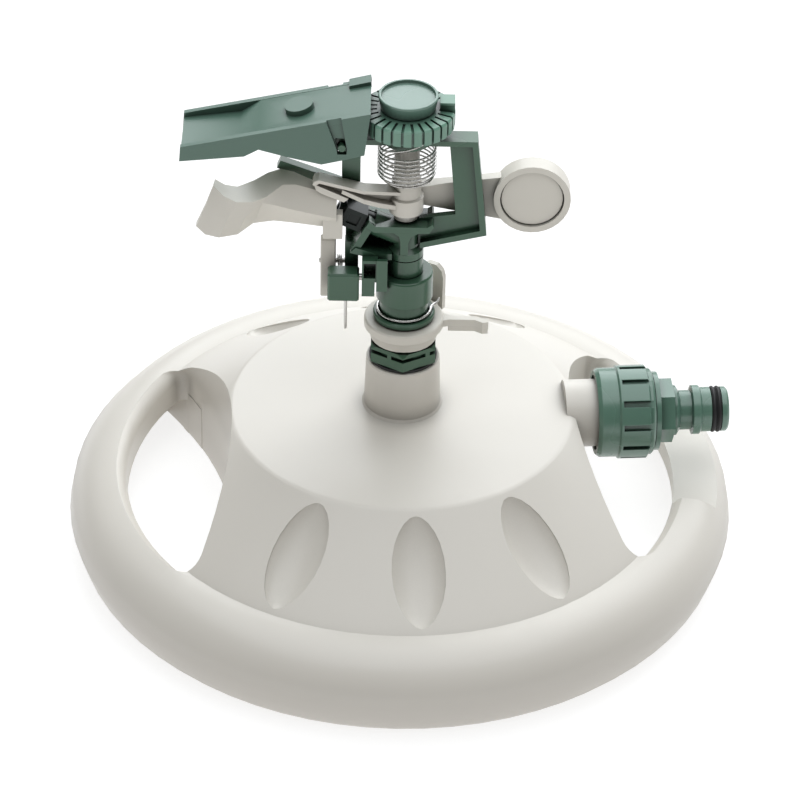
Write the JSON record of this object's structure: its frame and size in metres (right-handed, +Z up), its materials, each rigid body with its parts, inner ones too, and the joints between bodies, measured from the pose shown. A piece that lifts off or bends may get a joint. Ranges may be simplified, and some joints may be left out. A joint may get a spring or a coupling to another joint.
{
  "type": "impact sprinkler",
  "caption": "Part-circle impact sprinkler on a wide round ring base, with a swinging arm, a tilting jet flap, two trip collars and a hose connector.",
  "frame": {"origin": "on the ground under the riser, at the centre of the ring base", "axes": "+Z up; +X from the riser towards the hose connector"},
  "size_m": [0.236, 0.236, 0.1806],
  "materials": {
    "grey_plastic": "light grey moulding",
    "green_plastic": "dark green moulding",
    "black_rubber": "black rubber",
    "black_plastic": "black moulding",
    "white_washer": "white washer",
    "spring_steel": "plain steel wire and pins"
  },
  "bodies": {
    "base": {"base_shell": "grey_plastic", "inlet_washer": "black_rubber", "hose_spigot": "green_plastic", "spigot_o_ring": "black_rubber", "seat_gasket": "black_rubber", "bearing_nut": "green_plastic", "collar_washer": "green_plastic", "retaining_clip": "spring_steel"},
    "lower_stop": {"trip_collar_lower": "grey_plastic"},
    "upper_stop": {"trip_collar_upper": "grey_plastic"},
    "connector_nut": {"hose_nut": "green_plastic"},
    "head": {"bearing_tube": "green_plastic", "thrust_washer": "white_washer", "bearing_spring": "spring_steel", "sand_guard": "green_plastic", "sprinkler_body": "green_plastic", "nozzle": "black_plastic", "fulcrum_pin": "spring_steel", "arm_washer": "white_washer", "arm_spring": "spring_steel", "top_cap": "green_plastic", "flap_pin": "green_plastic", "trip_pin": "spring_steel", "dog_pin": "spring_steel", "trip_spring": "spring_steel"},
    "dial": {"range_dial": "green_plastic"},
    "flap": {"jet_flap": "green_plastic"},
    "arm": {"impact_arm": "grey_plastic", "counterweight": "spring_steel", "weight_cover": "grey_plastic"},
    "trip": {"trip_lever": "green_plastic", "trip_wire": "spring_steel"},
    "dog": {"trip_dog": "grey_plastic"}
  },
  "joints": [
    {"name": "head_turn", "type": "hinge", "parent": "base", "child": "head", "pos_m": [0, 0, 0.1], "axis": [0, 0, 1], "range_deg": [-115, 145]},
    {"name": "lower_stop_turn", "type": "hinge", "parent": "base", "child": "lower_stop", "pos_m": [0, 0, 0.085], "axis": [0, 0, 1], "range_deg": [-30, 90]},
    {"name": "upper_stop_turn", "type": "hinge", "parent": "base", "child": "upper_stop", "pos_m": [0, 0, 0.089], "axis": [0, 0, 1], "range_deg": [-120, 25]},
    {"name": "connector_nut_turn", "type": "hinge", "parent": "base", "child": "connector_nut", "pos_m": [0.0785, 0, 0.0467], "axis": [1, 0, 0], "continuous": true},
    {"name": "arm_swing", "type": "hinge", "parent": "head", "child": "arm", "pos_m": [0, 0, 0.14], "axis": [0, 0, 1], "range_deg": [0, 80], "stiffness_Nm_per_rad": 0.01, "springref_deg": -17.19},
    {"name": "dial_turn", "type": "hinge", "parent": "head", "child": "dial", "pos_m": [0, 0, 0.1722], "axis": [0, 0, 1], "range_deg": [0, 90]},
    {"name": "flap_tilt", "type": "hinge", "parent": "head", "child": "flap", "pos_m": [-0.02162, 0.00189, 0.1662], "axis": [0.0872, 0.9962, 0], "range_deg": [-9, 0]},
    {"name": "trip_swing", "type": "hinge", "parent": "head", "child": "trip", "pos_m": [-0.02055, -0.00422, 0.111], "axis": [0.9962, -0.0872, 0], "range_deg": [-9, 9]},
    {"name": "dog_swing", "type": "hinge", "parent": "head", "child": "dog", "pos_m": [-0.02383, 0.00299, 0.113], "axis": [0.9962, -0.0872, 0], "range_deg": [-4.5, 4.5]}
  ],
  "couplings": [
    {"joint": "flap_tilt", "follows": "dial_turn", "ratio": -0.1}
  ]
}
